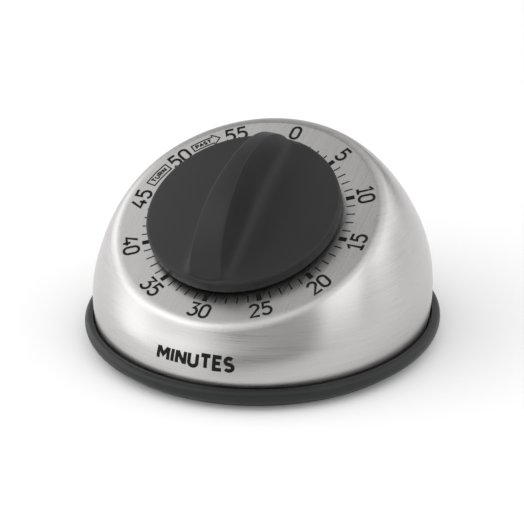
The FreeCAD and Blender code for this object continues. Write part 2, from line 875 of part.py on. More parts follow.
def make_plate_hardware():
    turned_ring("plate_pillars", [
        (0.0, "front_plate_top"),
        ("tenon_radius", "front_plate_top"),
        ("tenon_radius", "front_plate_back"),
        ("pillar_radius", "front_plate_back"),
        ("pillar_radius", "back_plate_top"),
        ("tapping_radius", "back_plate_top"),
        ("tapping_radius", ("back_plate_top", TAPPED_DEPTH)),
        (0.0, ("back_plate_top", TAPPED_DEPTH)),
    ], "pillar_ring", PILLARS, behind_dial())
    turned_ring("pillar_screws", [
        (0.0, ("back_plate_top", THREAD_DEPTH)),
        (("tapping_radius", -TAPPING_SLACK), ("back_plate_top", THREAD_DEPTH)),
        (("tapping_radius", -TAPPING_SLACK), "back_plate_back"),
        (PILLAR_SCREW_HEAD, "back_plate_back"),
        (PILLAR_SCREW_HEAD, ("back_plate_back", -SCREW_HEAD_DEPTH)),
        (0.0, ("back_plate_back", -SCREW_HEAD_DEPTH)),
    ], "pillar_ring", PILLARS, behind_dial())
    turned_ring("dial_spacers", [
        ("dial_screw_hole", "-sheet"),
        ("spacer_radius", "-sheet"),
        ("spacer_radius", "front_plate_top"),
        ("dial_screw_hole", "front_plate_top"),
    ], "screw_ring", DIAL_SCREWS, behind_dial(turn=90.0))
    turned_ring("dial_screws", [
        (0.0, DIAL_SCREW_HEAD_TOP),
        (DIAL_SCREW_HEAD, DIAL_SCREW_HEAD_TOP),
        (DIAL_SCREW_HEAD, 0.0),
        (("dial_screw_radius", -THREAD_SLACK), 0.0),
        (("dial_screw_radius", -THREAD_SLACK), ("front_plate_back", -0.3)),
        (0.0, ("front_plate_back", -0.3)),
    ], "screw_ring", DIAL_SCREWS, behind_dial(turn=90.0))
    turned("front_bush", [
        ("main_bore", -2.4),
        ("bush_radius", -2.4),
        ("bush_radius", "front_plate_back"),
        ("bush_flange", "front_plate_back"),
        ("bush_flange", ("front_plate_back", -0.4)),
        ("main_bore", ("front_plate_back", -0.4)),
    ], behind_dial())
    turned("rear_bush", [
        (REAR_BUSH_BORE, "back_plate_top"),
        (REAR_BUSH_RADIUS, "back_plate_top"),
        (REAR_BUSH_RADIUS, "back_plate_back"),
        (REAR_BUSH_FLANGE, "back_plate_back"),
        (REAR_BUSH_FLANGE, ("back_plate_back", -BUSH_FLANGE_SHEET)),
        (REAR_BUSH_BORE, ("back_plate_back", -BUSH_FLANGE_SHEET)),
    ], behind_dial())


# ---------------------------------------------------------------- bell and hammer

def make_bell():
    at_bell = behind_dial(0.0, size("bell_up"))
    body = new_body("bell")
    cup = revolve(body, "cup", [
        ("bell_radius", "bell_rim"),
        ("bell_radius", "bell_shoulder"),
        ("bell_crown_radius", "bell_crown"),
        ("bell_hole", "bell_crown"),
        ("bell_hole", ("bell_crown", "bell_sheet")),
        (("bell_crown_radius", -0.4), ("bell_crown", "bell_sheet")),
        (("bell_radius", "-bell_sheet"), ("bell_shoulder", 0.4)),
        (("bell_radius", "-bell_sheet"), "bell_rim"),
    ])
    roundings = [
        ("shoulder_round", "bell_radius", "bell_shoulder", 3.0),
        ("crown_round", "bell_crown_radius", "bell_crown", 5.0),
        ("inner_shoulder_round", ("bell_radius", "-bell_sheet"), ("bell_shoulder", 0.4), 2.2),
        ("inner_crown_round", ("bell_crown_radius", -0.4), ("bell_crown", "bell_sheet"), 4.2),
    ]
    base = cup
    for name, radius, level, rounding in roundings:
        base = round_edges(body, name, base, Vector(0, 0, size(level)), radius, rounding)
    keep(body, "bell", at_bell)
    turned("bell_post", [
        (0.0, "back_plate_top"),
        ("tenon_radius", "back_plate_top"),
        ("tenon_radius", "back_plate_back"),
        ("bell_post_radius", "back_plate_back"),
        ("bell_post_radius", ("bell_crown", "bell_sheet")),
        ("tapping_radius", ("bell_crown", "bell_sheet")),
        ("tapping_radius", ("bell_crown", TAPPED_DEPTH)),
        (0.0, ("bell_crown", TAPPED_DEPTH)),
    ], at_bell)
    turned("bell_screw", [
        (0.0, ("bell_crown", THREAD_DEPTH)),
        (("tapping_radius", -TAPPING_SLACK), ("bell_crown", THREAD_DEPTH)),
        (("tapping_radius", -TAPPING_SLACK), "bell_crown"),
        (BELL_SCREW_HEAD, "bell_crown"),
        (BELL_SCREW_HEAD, ("bell_crown", -SCREW_HEAD_DEPTH)),
        (0.0, ("bell_crown", -SCREW_HEAD_DEPTH)),
    ], at_bell)


# ---------------------------------------------------------------- shapes made with Part's functions

def prism(points, top, back):
    """A straight-sided solid between two levels, from a closed outline of (x, up) points."""
    corners = [Vector(across, up, size(back)) for across, up in points]
    face = Part.Face(Part.makePolygon(corners + corners[:1]))
    return face.extrude(Vector(0, 0, size(top) - size(back)))


def rod(radius, top, back, across=0.0, up=0.0):
    height = size(top) - size(back)
    return Part.makeCylinder(size(radius), height, Vector(across, up, size(back)))


def bar(start, end, width, top, back):
    """A straight bar with round ends between two points."""
    along = Vector(end[0] - start[0], end[1] - start[1], 0)
    side = Vector(-along.y, along.x, 0).normalize() * (width / 2)
    corners = [
        (start[0] + side.x, start[1] + side.y),
        (start[0] - side.x, start[1] - side.y),
        (end[0] - side.x, end[1] - side.y),
        (end[0] + side.x, end[1] + side.y),
    ]
    solid = prism(corners, top, back)
    ends = [rod(width / 2, top, back, *start), rod(width / 2, top, back, *end)]
    return solid.fuse(ends).removeSplitter()


def shaped(label, shape, placement):
    """A sub-part whose shape Part's functions make."""
    feature = doc.addObject("Part::Feature", label)
    feature.Shape = shape
    return keep(feature, label, placement)


# ---------------------------------------------------------------- gears

def involute_spread(base_radius, radius):
    """The angle by which an involute has turned from its base circle at a radius."""
    if radius <= base_radius:
        return 0.0
    alpha = math.acos(base_radius / radius)
    return math.tan(alpha) - alpha


def gear_outline(module, teeth, addendum, tooth_at):
    """Closed outline of a thin-toothed involute gear, with a tooth centred on tooth_at degrees."""
    pitch = module * teeth / 2
    base = pitch * math.cos(PRESSURE_ANGLE)
    root = pitch - DEDENDUM * module
    tip = pitch + addendum * module
    half_at_pitch = TOOTH_SHARE * math.pi / teeth
    half_at_base = half_at_pitch + involute_spread(base, pitch)
    flank = [root, max(base, root + 0.02), pitch, tip]
    points = []
    for tooth in range(teeth):
        middle = math.radians(tooth_at) + 2 * math.pi * tooth / teeth
        for side, radii in ((-1, flank), (1, flank[::-1])):
            for radius in radii:
                angle = middle + side * (half_at_base - involute_spread(base, radius))
                points.append((radius * math.cos(angle), radius * math.sin(angle)))
    return points


def wheel_windows(radius, count, at_radius, top, back):
    """Round lightening holes in a wheel."""
    return [
        rod(radius, top, back, *polar(at_radius, 360.0 * index / count))
        for index in range(count)
    ]


def bearing(start, end):
    """The direction in degrees from one arbor to another."""
    return math.degrees(math.atan2(end[1] - start[1], end[0] - start[0]))


def arbor_shape(extra=()):
    """A plain arbor between the plates with its two pivots, and anything fixed on it."""
    shape = rod("arbor_radius", "arbor_front", "arbor_back")
    shape = shape.fuse([
        rod("pivot_radius", "pivot_front", "arbor_front"),
        rod("pivot_radius", "arbor_back", "pivot_back"),
        *extra,
    ])
    return shape.removeSplitter()


def pinion(module, teeth, gap_towards, top, back):
    """A pinion with a gap between two teeth facing gap_towards degrees."""
    outline = gear_outline(module, teeth, PINION_ADDENDUM, gap_towards + 180.0 / teeth)
    return prism(outline, top, back)


def gear_wheel(label, module, teeth, tooth_towards, bore, windows, top, back, place):
    blank = prism(gear_outline(module, teeth, WHEEL_ADDENDUM, tooth_towards), top, back)
    holes = [rod(bore, top, back)] + windows
    return shaped(label, blank.cut(holes), place)


def at(arbor):
    return behind_dial(*PLACES[arbor])


def make_main_wheel():
    towards_second = bearing((0, 0), PLACES["second"])
    top, back = "main_wheel_top", "main_wheel_back"
    holes = wheel_windows(MAIN_WINDOW, MAIN_WINDOWS, MAIN_WINDOW_RING, top, back)[:-1]
    holes.append(rod(("pin_radius", ARBOR_FIT), top, back, *polar(size("stop_ring"), PIN_ANGLE)))
    holes[0] = rod(CLICK_RIVET_RADIUS + PRESS_FIT, top, back, *CLICK_PIVOT)
    gear_wheel("main_wheel", MAIN_MODULE, MAIN_TEETH, towards_second, "main_bore", holes, top, back,
               behind_dial())


def make_ratchet():
    """The saw-toothed wheel on the arbor, and the click on the main wheel that it pulls."""
    step = 360.0 / RATCHET_TEETH
    outline = []
    for tooth in range(RATCHET_TEETH):
        outline.append(polar(RATCHET_ROOT, tooth * step))
        outline.append(polar(RATCHET_TIP, (tooth + 0.95) * step))
    top = ("main_wheel_back", -0.2)
    teeth = prism(outline, top, "ratchet_back")
    shaped("ratchet_wheel", teeth.cut(rod(("main_radius", ARBOR_FIT), top, "ratchet_back")),
           behind_dial())
    pawl = prism([
        polar(5.95, 244.5), polar(6.25, 249.0), polar(6.85, 257.0), polar(9.0, 270.0),
        polar(10.4, 286.0), polar(11.3, 276.0), polar(9.4, 255.0), polar(7.0, 244.0),
    ], top, "ratchet_back")
    pawl = pawl.fuse(rod(1.5, top, "ratchet_back", *CLICK_PIVOT)).removeSplitter()
    pivot_hole = rod(CLICK_RIVET_RADIUS + CLICK_FIT, top, "ratchet_back", *CLICK_PIVOT)
    shaped("click", pawl.cut(pivot_hole), behind_dial())
    rivet = rod(CLICK_RIVET_RADIUS, "main_wheel_top", ("ratchet_back", -0.1), *CLICK_PIVOT)
    rivet = rivet.fuse(rod(1.2, ("ratchet_back", -0.1), ("ratchet_back", -0.5), *CLICK_PIVOT))
    shaped("click_rivet", rivet, behind_dial())
    leaf = bar(CLICK_SPRING_ROOT, CLICK_SPRING_TIP, CLICK_SPRING_SHEET, top, "ratchet_back")
    foot = rod(0.8, "main_wheel_back", "ratchet_back", *CLICK_SPRING_ROOT)
    shaped("click_spring", leaf.fuse(foot).removeSplitter(), behind_dial())


def make_stop_pin():
    turned("stop_pin", [
        (0.0, STOP_PIN_TOP),
        ("pin_radius", STOP_PIN_TOP),
        ("pin_radius", "main_wheel_back"),
        (0.0, "main_wheel_back"),
    ], behind_dial(*polar(size("stop_ring"), PIN_ANGLE)))


def make_strike_cam():
    """A disc with one notch, which frees the alarm when the knob is back at zero."""
    disc = rod("cam_radius", "cam_top", "cam_back")
    notch = prism([
        polar(5.2, RELEASE_TIP_ANGLE - 10.0), polar(7.6, RELEASE_TIP_ANGLE - 14.0),
        polar(7.6, RELEASE_TIP_ANGLE + 14.0), polar(5.2, RELEASE_TIP_ANGLE + 10.0),
    ], "cam_top", "cam_back")
    bore = rod(("main_radius", -0.28), "cam_top", "cam_back")
    shaped("strike_cam", disc.cut([notch, bore]), behind_dial())


def spiral(inner, outer, turns, thickness, start, top, back):
    """A flat strip wound in an even spiral, as one solid of smooth inner and outer walls."""
    steps = int(turns * 24)
    walls = []
    for offset in (0.0, thickness):
        spots = []
        for index in range(steps + 1):
            share = index / steps
            radius = inner + (outer - thickness - inner) * share + offset
            spots.append(Vector(*polar(radius, start + 360.0 * turns * share), size(back)))
        curve = Part.BSplineCurve()
        curve.interpolate(spots)
        walls.append(curve)
    ends = [
        Part.LineSegment(walls[0].StartPoint, walls[1].StartPoint),
        Part.LineSegment(walls[0].EndPoint, walls[1].EndPoint),
    ]
    edges = Part.sortEdges([curve.toShape() for curve in walls + ends])[0]
    face = Part.Face(Part.Wire(edges))
    return face.extrude(Vector(0, 0, size(top) - size(back)))


def make_mainspring():
    strip = spiral(size("spring_inner"), size("spring_outer"), MAINSPRING_TURNS,
                   size("spring_sheet"), HOOK_ANGLE, "spring_top", "spring_back")
    shaped("mainspring", strip, behind_dial())


def make_train():
    """Second, third and escape arbors with their pinions and wheels, each in mesh with the next."""
    main = (0.0, 0.0)
    second, third, escape = PLACES["second"], PLACES["third"], PLACES["escape"]
    second_pinion = pinion(MAIN_MODULE, SECOND_PINION_TEETH, bearing(second, main),
                           "second_pinion_top", "second_pinion_back")
    shaped("second_arbor", arbor_shape([second_pinion]), at("second"))
    third_pinion = pinion(TRAIN_MODULE, THIRD_PINION_TEETH, bearing(third, second),
                          "third_pinion_top", "third_pinion_back")
    shaped("third_arbor", arbor_shape([third_pinion]), at("third"))
    escape_pinion = pinion(TRAIN_MODULE, ESCAPE_PINION_TEETH, bearing(escape, third),
                           "escape_pinion_top", "escape_pinion_back")
    shaped("escape_arbor", arbor_shape([escape_pinion]), at("escape"))
    bore = ("arbor_radius", PRESS_FIT)
    gear_wheel("second_wheel", TRAIN_MODULE, SECOND_TEETH, bearing(second, third), bore,
               wheel_windows(SECOND_WINDOW, TRAIN_WINDOWS, SECOND_WINDOW_RING,
                             "second_wheel_top", "second_wheel_back"),
               "second_wheel_top", "second_wheel_back", at("second"))
    gear_wheel("third_wheel", TRAIN_MODULE, THIRD_TEETH, bearing(third, escape), bore,
               wheel_windows(THIRD_WINDOW, TRAIN_WINDOWS, THIRD_WINDOW_RING,
                             "third_wheel_top", "third_wheel_back"),
               "third_wheel_top", "third_wheel_back", at("third"))
    step = 360.0 / ESCAPE_TEETH
    outline = []
    for tooth in range(ESCAPE_TEETH):
        outline.append(polar(ESCAPE_ROOT, tooth * step))
        outline.append(polar(ESCAPE_TIP, (tooth + 0.35) * step))
        outline.append(polar(ESCAPE_ROOT, (tooth + 0.55) * step))
    teeth = prism(outline, "escape_wheel_top", "escape_wheel_back")
    shaped("escape_wheel", teeth.cut(rod(bore, "escape_wheel_top", "escape_wheel_back")),
           at("escape"))


def make_pallet():
    """A pin lever: two pins stand each side of the escape wheel, a tail reaches for the roller."""
    pallet, escape, balance = PLACES["pallet"], PLACES["escape"], PLACES["balance"]
    towards = bearing(escape, pallet)
    shape = rod(1.6, LEVER_TOP, LEVER_BACK)
    for side in (-1, 1):
        step = polar(PALLET_PIN_REACH, towards + side * PALLET_PIN_SPREAD)
        spot = (escape[0] + step[0] - pallet[0], escape[1] + step[1] - pallet[1])
        arm = bar((0.0, 0.0), spot, 1.2, LEVER_TOP, LEVER_BACK)
        pin = rod(0.3, ("escape_wheel_top", 0.1), LEVER_TOP, *spot)
        shape = shape.fuse([arm, pin])
    tail_length = math.dist(pallet, balance) - size("roller_radius") - 1.4
    tail = bar((0.0, 0.0), polar(tail_length, bearing(pallet, balance)), 1.4, LEVER_TOP, LEVER_BACK)
    shape = shape.fuse(tail).removeSplitter()
    shaped("pallet_lever", shape.cut(rod(("arbor_radius", PRESS_FIT), LEVER_TOP, LEVER_BACK)),
           at("pallet"))
    shaped("pallet_arbor", arbor_shape(), at("pallet"))


def make_balance():
    top, back = "balance_top", "balance_back"
    rim = rod("balance_radius", top, back).cut(rod(("balance_radius", "-balance_rim"), top, back))
    reach = size("balance_radius") - size("balance_rim") / 2
    spokes = bar(polar(reach, 30.0), polar(reach, 210.0), 1.2, top, back)
    wheel = rim.fuse([spokes, rod(BOSS_RADIUS, top, back)]).removeSplitter()
    shaped("balance_wheel", wheel.cut(rod(("arbor_radius", PRESS_FIT), top, back)), at("balance"))
    shaped("balance_staff", arbor_shape(), at("balance"))
    roller = rod("roller_radius", LEVER_TOP, LEVER_BACK)
    roller = roller.cut(rod(("arbor_radius", PRESS_FIT), LEVER_TOP, LEVER_BACK))
    shaped("roller", roller, at("balance"))
    coil = spiral(HAIRSPRING_INSIDE, HAIRSPRING_OUTSIDE, HAIRSPRING_TURNS, HAIRSPRING_SHEET,
                  STUD_ANGLE, HAIRSPRING_TOP, HAIRSPRING_BACK)
    shaped("hairspring", coil, at("balance"))


def make_release():
    """The lever that feels the cam, and the leaf that presses it."""
    release = PLACES["release"]
    tip = polar(RELEASE_TIP_RADIUS, RELEASE_TIP_ANGLE)
    spot = (tip[0] - release[0], tip[1] - release[1])
    lever = bar((0.0, 0.0), spot, 2.0, "cam_top", "cam_back")
    lever = lever.fuse(rod(BOSS_RADIUS, "cam_top", "cam_back")).removeSplitter()
    shaped("release_lever", lever.cut(rod(("arbor_radius", PRESS_FIT), "cam_top", "cam_back")),
           at("release"))
    shaped("release_arbor", arbor_shape(), at("release"))
    pillar = polar(size("pillar_ring"), 270.0)
    root = (pillar[0] + 0.7, pillar[1] + size("pillar_radius") + SPRING_SLACK)
    touch = (2.0, -13.4)
    shaped("release_spring", bar(root, touch, LEAF_SHEET, -16.7, -17.2), behind_dial())


def hammer_head_spot():
    """The head stands beside the bell's rim, where its arm swings straight at the bell."""
    bell = (0.0, size("bell_up"))
    hammer = PLACES["hammer"]
    reach = size("bell_radius") + HAMMER_GAP + size("hammer_radius")
    spread = math.degrees(math.acos(reach / math.dist(bell, hammer)))
    step = polar(reach, bearing(bell, hammer) - spread)
    return (bell[0] + step[0] - hammer[0], bell[1] + step[1] - hammer[1])


def make_hammer():
    hammer, second = PLACES["hammer"], PLACES["second"]
    spot = hammer_head_spot()
    shaft = arbor_shape([rod("pivot_radius", "pivot_back", ARM_BACK)])
    shaped("hammer_arbor", shaft, at("hammer"))
    bore = rod(("pivot_radius", PRESS_FIT), ARM_TOP, ARM_BACK)
    arm = bar((0.0, 0.0), spot, ARM_WIDTH, ARM_TOP, ARM_BACK).cut(bore)
    shaped("hammer_arm", arm.cut(rod(HEAD_NECK, ARM_TOP, ARM_BACK, *spot)), at("hammer"))
    head = rod("hammer_radius", "hammer_top", "hammer_back", *spot)
    neck = rod(HEAD_NECK - ARBOR_FIT, ARM_TOP, ARM_BACK, *spot)
    groove = rod("hammer_radius", ARM_TOP, ARM_BACK, *spot).cut(neck)
    shaped("hammer_head", head.cut(groove), at("hammer"))
    tip_radius = SECOND_TEETH * TRAIN_MODULE / 2 + TRAIN_MODULE
    tail_length = math.dist(hammer, second) - tip_radius - 1.4
    tail = bar((0.0, 0.0), polar(tail_length, bearing(hammer, second)), ARM_WIDTH, TAIL_TOP, TAIL_BACK)
    tail = tail.fuse(rod(BOSS_RADIUS, TAIL_TOP, TAIL_BACK)).removeSplitter()
    shaped("hammer_tail", tail.cut(rod(("arbor_radius", PRESS_FIT), TAIL_TOP, TAIL_BACK)), at("hammer"))
    pillar = polar(size("pillar_ring"), 270.0)
    root = (pillar[0] - size("pillar_radius") - SPRING_SLACK, pillar[1] + 0.7)
    touch = (hammer[0] + 0.95, hammer[1] + 9.0)
    shaped("hammer_spring", bar(root, touch, LEAF_SHEET, -13.4, -13.8), behind_dial())


def check_and_write():
    """Every object recomputed, every sub-part one or more valid solids; then one file for each."""
    doc.recompute()
    for obj in doc.Objects:
        if "Invalid" in obj.State or "Error" in obj.State:
            raise RuntimeError(f"{obj.Name} failed: {obj.State}")
    for piece in parts:
        if piece.Shape.isNull() or not piece.Shape.isValid() or not piece.Shape.Solids:
            raise RuntimeError(f"{piece.Label} has no valid shape")
    os.makedirs("parts", exist_ok=True)
    for piece in parts:
        piece.Shape.exportStep(os.path.join("parts", piece.Label + ".step"))
        box = piece.Shape.BoundBox
        print(f"{piece.Label:18s} solids {len(piece.Shape.Solids)} volume {piece.Shape.Volume:10.2f}"
              f"  x {box.XMin:7.2f} {box.XMax:7.2f}  y {box.YMin:7.2f} {box.YMax:7.2f}"
              f"  z {box.ZMin:7.2f} {box.ZMax:7.2f}")


make_steel_shell()
make_base_ring()
make_base_plate()
make_shell_brackets()
make_base_screws()
make_knob()
make_knob_clip()
make_main_arbor()
make_front_plate()
make_back_plate()
make_posts()
make_plate_hardware()
make_bell()
make_main_wheel()
make_ratchet()
make_stop_pin()
make_strike_cam()
make_mainspring()
make_train()
make_pallet()
make_balance()
make_release()
make_hammer()
check_and_write()
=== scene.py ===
"""Wind-up kitchen timer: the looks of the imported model.

The shell, ring, base and movement are the CAD's own solids with detailed materials. The knob is a
sculpted piece that stands for its CAD solid, and the dial's figures are thin printed pieces.
"""

import json
import math

import bmesh
import bpy
from mathutils import Matrix, Vector
from mathutils.bvhtree import BVHTree


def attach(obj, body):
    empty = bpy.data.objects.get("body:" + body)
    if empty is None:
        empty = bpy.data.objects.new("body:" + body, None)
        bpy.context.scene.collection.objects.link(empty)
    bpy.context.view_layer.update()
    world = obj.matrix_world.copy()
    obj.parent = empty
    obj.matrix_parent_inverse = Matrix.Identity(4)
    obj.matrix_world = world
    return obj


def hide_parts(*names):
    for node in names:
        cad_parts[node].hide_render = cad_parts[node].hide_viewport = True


MM = 0.001

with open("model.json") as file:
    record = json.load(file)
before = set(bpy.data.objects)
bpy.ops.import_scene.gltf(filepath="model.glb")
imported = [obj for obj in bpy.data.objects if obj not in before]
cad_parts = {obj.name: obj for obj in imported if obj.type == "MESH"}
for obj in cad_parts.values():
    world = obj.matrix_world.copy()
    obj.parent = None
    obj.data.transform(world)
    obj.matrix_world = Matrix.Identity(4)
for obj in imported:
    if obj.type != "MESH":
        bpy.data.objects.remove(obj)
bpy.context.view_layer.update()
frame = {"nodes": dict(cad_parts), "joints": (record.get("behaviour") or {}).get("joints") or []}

# ---------------------------------------------------------------- the dial's own frame
KNOB_JOINT = next(joint for joint in frame["joints"] if joint["name"] == "knob_turn")
DIAL_CENTRE = Vector(KNOB_JOINT["pos_m"])
DIAL_OUT = -Vector(KNOB_JOINT["axis"]).normalized()
DIAL_RIGHT = Vector((1.0, 0.0, 0.0))
DIAL_UP = DIAL_OUT.cross(DIAL_RIGHT)


def on_dial(right, up, out=0.0):
    """A point in the dial's frame, given in mm."""
    return DIAL_CENTRE + MM * (right * DIAL_RIGHT + up * DIAL_UP + out * DIAL_OUT)


# ---------------------------------------------------------------- materials
class Nodes:
    """A material's node tree with short calls for the nodes used here."""

    def __init__(self, name):
        self.material = bpy.data.materials.new(name)
        self.material.use_nodes = True
        self.tree = self.material.node_tree
        self.shader = self.tree.nodes["Principled BSDF"]
        self.place = self.tree.nodes.new("ShaderNodeTexCoord").outputs["Object"]

    def add(self, kind, links=(), **values):
        node = self.tree.nodes.new(kind)
        for key, value in values.items():
            setattr(node, key, value)
        for socket, source in dict(links).items():
            self.put(node, socket, source)
        return node

    def put(self, node, socket, source):
        target = node.inputs[socket]
        if isinstance(source, bpy.types.NodeSocket):
            self.tree.links.new(source, target)
        else:
            target.default_value = source

    def set(self, **values):
        for key, value in values.items():
            self.put(self.shader, key.replace("_", " "), value)

    def stretched(self, scale, turn=(0.0, 0.0, 0.0)):
        mapping = self.add("ShaderNodeMapping", {"Vector": self.place, "Scale": scale, "Rotation": turn})
        return mapping.outputs["Vector"]

    def noise(self, vector, scale, detail=2.0, roughness=0.5):
        node = self.add("ShaderNodeTexNoise", {
            "Vector": vector, "Scale": scale, "Detail": detail, "Roughness": roughness})
        return node.outputs["Fac"]

    def span(self, value, low, high, start=0.0, end=1.0):
        node = self.add("ShaderNodeMapRange", {
            "Value": value, "From Min": start, "From Max": end, "To Min": low, "To Max": high})
        return node.outputs["Result"]

    def maths(self, operation, first, second):
        node = self.add("ShaderNodeMath", {0: first, 1: second}, operation=operation)
        return node.outputs["Value"]

    def vector(self, operation, first, second, output="Vector"):
        other = "Scale" if operation == "SCALE" else 1
        node = self.add("ShaderNodeVectorMath", {0: first, other: second}, operation=operation)
        return node.outputs[output]

    def tint(self, factor, dark, light):
        ramp = self.add("ShaderNodeValToRGB", {"Fac": factor})
        ramp.color_ramp.elements[0].color = (*dark, 1.0)
        ramp.color_ramp.elements[1].color = (*light, 1.0)
        return ramp.outputs["Color"]

    def bump(self, height, strength, distance):
        node = self.add("ShaderNodeBump", {
            "Height": height, "Strength": strength, "Distance": distance * MM})
        self.set(Normal=node.outputs["Normal"])


BRUSH_ALONG = 60.0
BRUSH_ACROSS = 2600.0
FACE_EDGE = 0.985
FACE_CORE = 0.998


def brushed_steel():
    """Brushed stainless steel: lines round the wall, and lines up the slope on the dial."""
    n = Nodes("brushed_steel")
    tilt = math.asin(DIAL_UP.z)
    round_wall = n.stretched((BRUSH_ALONG, BRUSH_ALONG, BRUSH_ACROSS))
    up_dial = n.stretched((BRUSH_ACROSS, BRUSH_ALONG, BRUSH_ALONG), (-tilt, 0.0, 0.0))
    wall_lines = n.noise(round_wall, 1.0, 3.0, 0.6)
    dial_lines = n.noise(up_dial, 1.0, 3.0, 0.6)
    normal = n.add("ShaderNodeNewGeometry").outputs["Normal"]
    facing = n.vector("DOT_PRODUCT", normal, DIAL_OUT, "Value")
    on_face = n.span(facing, 0.0, 1.0, FACE_EDGE, FACE_CORE)
    off_face = n.maths("SUBTRACT", 1.0, on_face)
    lines = n.maths("ADD", n.maths("MULTIPLY", dial_lines, on_face),
                    n.maths("MULTIPLY", wall_lines, off_face))
    cloud = n.noise(n.place, 38.0, 3.0)
    n.set(
        Base_Color=n.tint(n.span(lines, 0.0, 1.0, 0.25, 0.75), (0.47, 0.465, 0.455), (0.53, 0.525, 0.515)),
        Metallic=1.0,
        Roughness=n.maths("ADD", n.span(lines, 0.26, 0.34, 0.3, 0.7), n.span(cloud, -0.03, 0.03)),
        Anisotropic=0.55,
    )
    # highlights stretch along the tangent, so it lies across the brush lines
    round_z = n.add("ShaderNodeTangent", direction_type="RADIAL", axis="Z").outputs["Tangent"]
    up_wall = n.vector("CROSS_PRODUCT", normal, round_z)
    wall_part = n.vector("SCALE", up_wall, off_face)
    face_part = n.vector("SCALE", DIAL_RIGHT, on_face)
    n.set(Tangent=n.vector("ADD", wall_part, face_part))
    n.bump(lines, 0.05, 0.006)
    return n.material


def moulded(name, dark, light, rough, grain_mm, grain_depth, shine):
    """A moulded plastic or rubber with a fine matt grain and faint handling marks."""
    n = Nodes(name)
    grain = n.noise(n.place, 1.0 / (grain_mm * MM), 3.0, 0.6)
    cloud = n.noise(n.place, 45.0, 4.0, 0.6)
    n.set(
        Base_Color=n.tint(n.span(cloud, 0.0, 1.0, 0.3, 0.7), dark, light),
        Roughness=n.span(cloud, rough - 0.06, rough + 0.06, 0.3, 0.7),
        Specular_IOR_Level=shine,
    )
    n.bump(grain, 0.3, grain_depth)
    return n.material


def worked_metal(name, dark, light, rough, line_scale):
    """A stamped or turned metal part with fine marks of its making and a slight stain."""
    n = Nodes(name)
    marks = n.noise(n.stretched(line_scale), 1.0, 3.0, 0.55)
    cloud = n.noise(n.place, 120.0, 4.0, 0.6)
    n.set(
        Base_Color=n.tint(n.span(cloud, 0.0, 1.0, 0.25, 0.75), dark, light),
        Metallic=1.0,
        Roughness=n.maths("ADD", n.span(marks, rough - 0.06, rough + 0.06), n.span(cloud, -0.05, 0.05)),
    )
    n.bump(marks, 0.2, 0.01)
    return n.material


def printed_ink():
    """Black screen-printing ink, slightly uneven."""
    n = Nodes("printed_ink")
    cloud = n.noise(n.place, 2200.0, 2.0)
    n.set(
        Base_Color=n.tint(cloud, (0.004, 0.004, 0.004), (0.009, 0.009, 0.009)),
        Roughness=n.span(cloud, 0.5, 0.7),
        Specular_IOR_Level=0.15,
    )
    n.bump(cloud, 0.2, 0.01)
    return n.material


# slot: dark, light, roughness, grain size and depth in mm, shine
MOULDED = {
    "ring_rubber": ((0.011, 0.012, 0.012), (0.018, 0.019, 0.019), 0.42, 0.25, 0.02, 0.3),
    "base_plastic": ((0.012, 0.012, 0.012), (0.02, 0.02, 0.02), 0.5, 0.4, 0.04, 0.4),
    "knob_plastic": ((0.017, 0.017, 0.018), (0.022, 0.022, 0.023), 0.5, 0.3, 0.012, 0.25),
}
# slot: dark, light, roughness, how finely the marks run along x, y and z
METALS = {
    "plate_brass": ((0.62, 0.45, 0.20), (0.78, 0.60, 0.30), 0.32, (90.0, 2600.0, 90.0)),
    "wheel_brass": ((0.68, 0.50, 0.22), (0.85, 0.66, 0.32), 0.26, (900.0, 900.0, 900.0)),
    "hard_steel": ((0.36, 0.37, 0.39), (0.50, 0.51, 0.53), 0.22, (200.0, 200.0, 3000.0)),
    "spring_steel": ((0.16, 0.20, 0.30), (0.28, 0.32, 0.42), 0.28, (300.0, 300.0, 2000.0)),
    "zinc_steel": ((0.52, 0.52, 0.50), (0.66, 0.66, 0.64), 0.36, (700.0, 700.0, 700.0)),
    "bell_metal": ((0.55, 0.54, 0.51), (0.72, 0.71, 0.67), 0.18, (150.0, 150.0, 3600.0)),
}
LOOKS = {"shell_steel": brushed_steel()}
for slot_name, finish in MOULDED.items():
    LOOKS[slot_name] = moulded(slot_name + "_look", *finish)
for slot_name, finish in METALS.items():
    LOOKS[slot_name] = worked_metal(slot_name + "_look", *finish)
INK = printed_ink()

for node in frame["nodes"].values():
    for own_slot in node.material_slots:
        own_slot.material = LOOKS[own_slot.material.name]


# ---------------------------------------------------------------- building pieces
def finished(mesh, name):
    """The mesh data of a finished bmesh."""
    data = bpy.data.meshes.new(name)
    mesh.to_mesh(data)
    mesh.free()
    return data


def make_piece(name, mesh, look, body, smooth=True):
    mesh.name = name
    piece = bpy.data.objects.new(name, mesh)
    bpy.context.scene.collection.objects.link(piece)
    mesh.materials.append(look)
    if smooth:
        for face in mesh.polygons:
            face.use_smooth = True
    bpy.context.view_layer.update()
    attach(piece, body)
    return piece


# ---------------------------------------------------------------- the knob
# All sizes in mm: s runs along the fin, w across it, and heights are above the dial.
KNOB_RADIUS = 29.6
DISC_OFFSET = -0.7
RIM_FOOT = 1.25
RIM_TOP = 5.2
RIM_ROUND = 0.9
TOP_RADIUS = KNOB_RADIUS - RIM_ROUND
RIM_WALL = 1.8
TAIL_LIFT = 1.3
TAIL_FADE = 6.0
OFFSET_FADE = 8.0
CHEEK_CROWN = 2.0
FIN_HALF_LENGTH = 29.3
FIN_TOP = 23.05
FIN_CROWN = 0.15
WIDEST_FIN = 0.82
FIN_HALF_WIDTHS = (
    (-29.3, 5.35), (-26.0, 5.2), (-22.0, 4.8), (-18.0, 4.43), (-14.0, 4.12), (-10.0, 3.8),
    (-6.0, 3.45), (-2.0, 3.05), (2.0, 2.68), (6.0, 2.43), (10.0, 2.3), (29.3, 2.2),
)
EDGE_ROUND = 0.42
